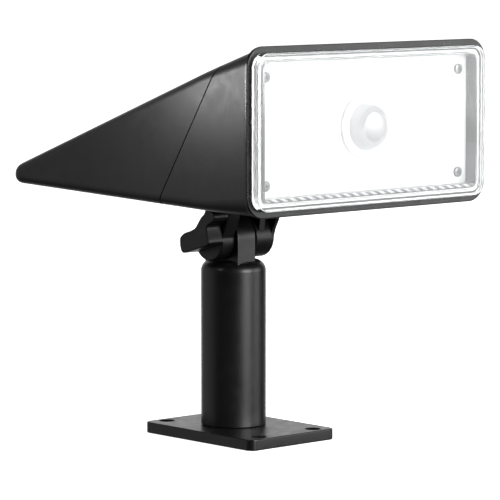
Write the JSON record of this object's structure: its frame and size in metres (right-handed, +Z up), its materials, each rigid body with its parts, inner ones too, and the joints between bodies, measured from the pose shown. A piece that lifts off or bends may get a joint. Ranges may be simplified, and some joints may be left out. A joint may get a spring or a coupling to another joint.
{
  "type": "solar flood light",
  "caption": "Wedge-shaped solar flood light with a clear front over white reflectors and a motion sensor, tilting on a clamped knuckle above a short post and plate.",
  "frame": {"origin": "centre of the base plate's underside", "axes": "+Z up along the post, -Y the way the lamp's clear front faces at rest, +X completes the right-handed frame and runs along the tilt hinge"},
  "size_m": [0.155, 0.1822, 0.1964],
  "materials": {
    "black_plastic": "satin",
    "white_plastic": "satin",
    "clear_plastic": "polished",
    "milky_plastic": "satin",
    "rubber": "matte",
    "steel": "satin",
    "circuit_board": "satin",
    "led_board": "satin",
    "led_phosphor": "satin",
    "solar_glass": "polished",
    "cell_wrap": "satin",
    "switch_body": "satin",
    "lead_red": "satin"
  },
  "bodies": {
    "post": {"base_plate": "black_plastic", "foot_insert": "black_plastic", "pole_tube": "black_plastic", "knuckle_cap": "black_plastic", "tongue_bush": "milky_plastic", "foot_screw_1": "steel", "foot_screw_2": "steel", "foot_screw_3": "steel", "cap_screw_1": "steel", "cap_screw_2": "steel"},
    "head": {"front_housing": "black_plastic", "front_bezel": "black_plastic", "rear_housing": "black_plastic", "cell_holder": "black_plastic", "board_frame": "black_plastic", "hinge_bracket": "black_plastic", "sensor_dome": "milky_plastic", "reflector_screw_1": "steel", "reflector_screw_2": "steel", "reflector_screw_3": "steel", "reflector_screw_4": "steel", "housing_screw_1": "steel", "housing_screw_2": "steel", "housing_screw_3": "steel", "housing_screw_4": "steel", "bracket_screw_1": "steel", "bracket_screw_2": "steel", "bracket_screw_3": "steel", "bracket_screw_4": "steel", "hinge_nut": "steel", "sensor_can": "steel", "lens_cover": "clear_plastic", "lens_gasket": "rubber", "seam_gasket": "rubber", "panel_seal": "rubber", "friction_washer": "rubber", "reflector_plate": "white_plastic", "sensor_ring": "white_plastic", "led_board_left": "led_board", "led_board_right": "led_board", "led_emitter_left": "led_phosphor", "led_emitter_right": "led_phosphor", "sensor_board": "circuit_board", "control_board": "circuit_board", "solar_panel": "solar_glass", "battery_cell_1": "cell_wrap", "battery_cell_2": "cell_wrap", "mode_switch": "switch_body", "solar_lead": "lead_red", "battery_lead": "lead_red", "led_lead_left": "lead_red", "led_lead_right": "lead_red", "sensor_lead": "lead_red"},
    "clamp_carrier": {"clamp_washer": "steel"},
    "knob": {"clamp_knob": "black_plastic", "knob_stud": "steel"},
    "mode_key": {"mode_button": "rubber"}
  },
  "joints": [
    {"name": "head_tilt", "type": "hinge", "parent": "post", "child": "head", "pos_m": [0, 0.0042, 0.098], "axis": [1, 0, 0], "range_deg": [-75, 60]},
    {"name": "knob_travel", "type": "slide", "parent": "head", "child": "clamp_carrier", "axis": [-1, 0, 0], "range_m": [0, 0.0015]},
    {"name": "knob_turn", "type": "hinge", "parent": "clamp_carrier", "child": "knob", "pos_m": [-0.0263, 0.0042, 0.098], "axis": [-1, 0, 0], "range_deg": [0, 540]},
    {"name": "mode_press", "type": "slide", "parent": "head", "child": "mode_key", "axis": [0, 0, 1], "range_m": [0, 0.001], "stiffness_N_per_m": 600}
  ],
  "couplings": [
    {"joint": "knob_travel", "follows": "knob_turn", "m_per_rad": 0.000159}
  ]
}
